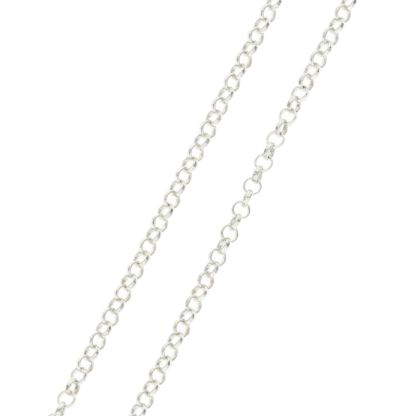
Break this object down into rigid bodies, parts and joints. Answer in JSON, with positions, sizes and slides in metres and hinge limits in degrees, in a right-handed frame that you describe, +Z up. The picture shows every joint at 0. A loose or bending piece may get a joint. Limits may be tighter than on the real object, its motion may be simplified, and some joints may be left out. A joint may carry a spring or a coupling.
{
  "type": "rolo chain necklace",
  "caption": "Rolo chain necklace of round crowned band links, laid flat as a long closed loop, with two joining rings and a plain ring clasp.",
  "frame": {"origin": "middle of the loop's outline, on the surface that the chain lies on", "axes": "+Y along the two strands towards the clasp, +Z up from the surface, +X from the left strand to the right one"},
  "size_m": [0.0228, 0.2164, 0.0032],
  "materials": {
    "silver": "polished silver"
  },
  "bodies": {
    "root": {"left_strand": "silver", "right_strand": "silver", "start_ring": "silver", "end_ring": "silver", "clasp": "silver"}
  },
  "joints": []
}
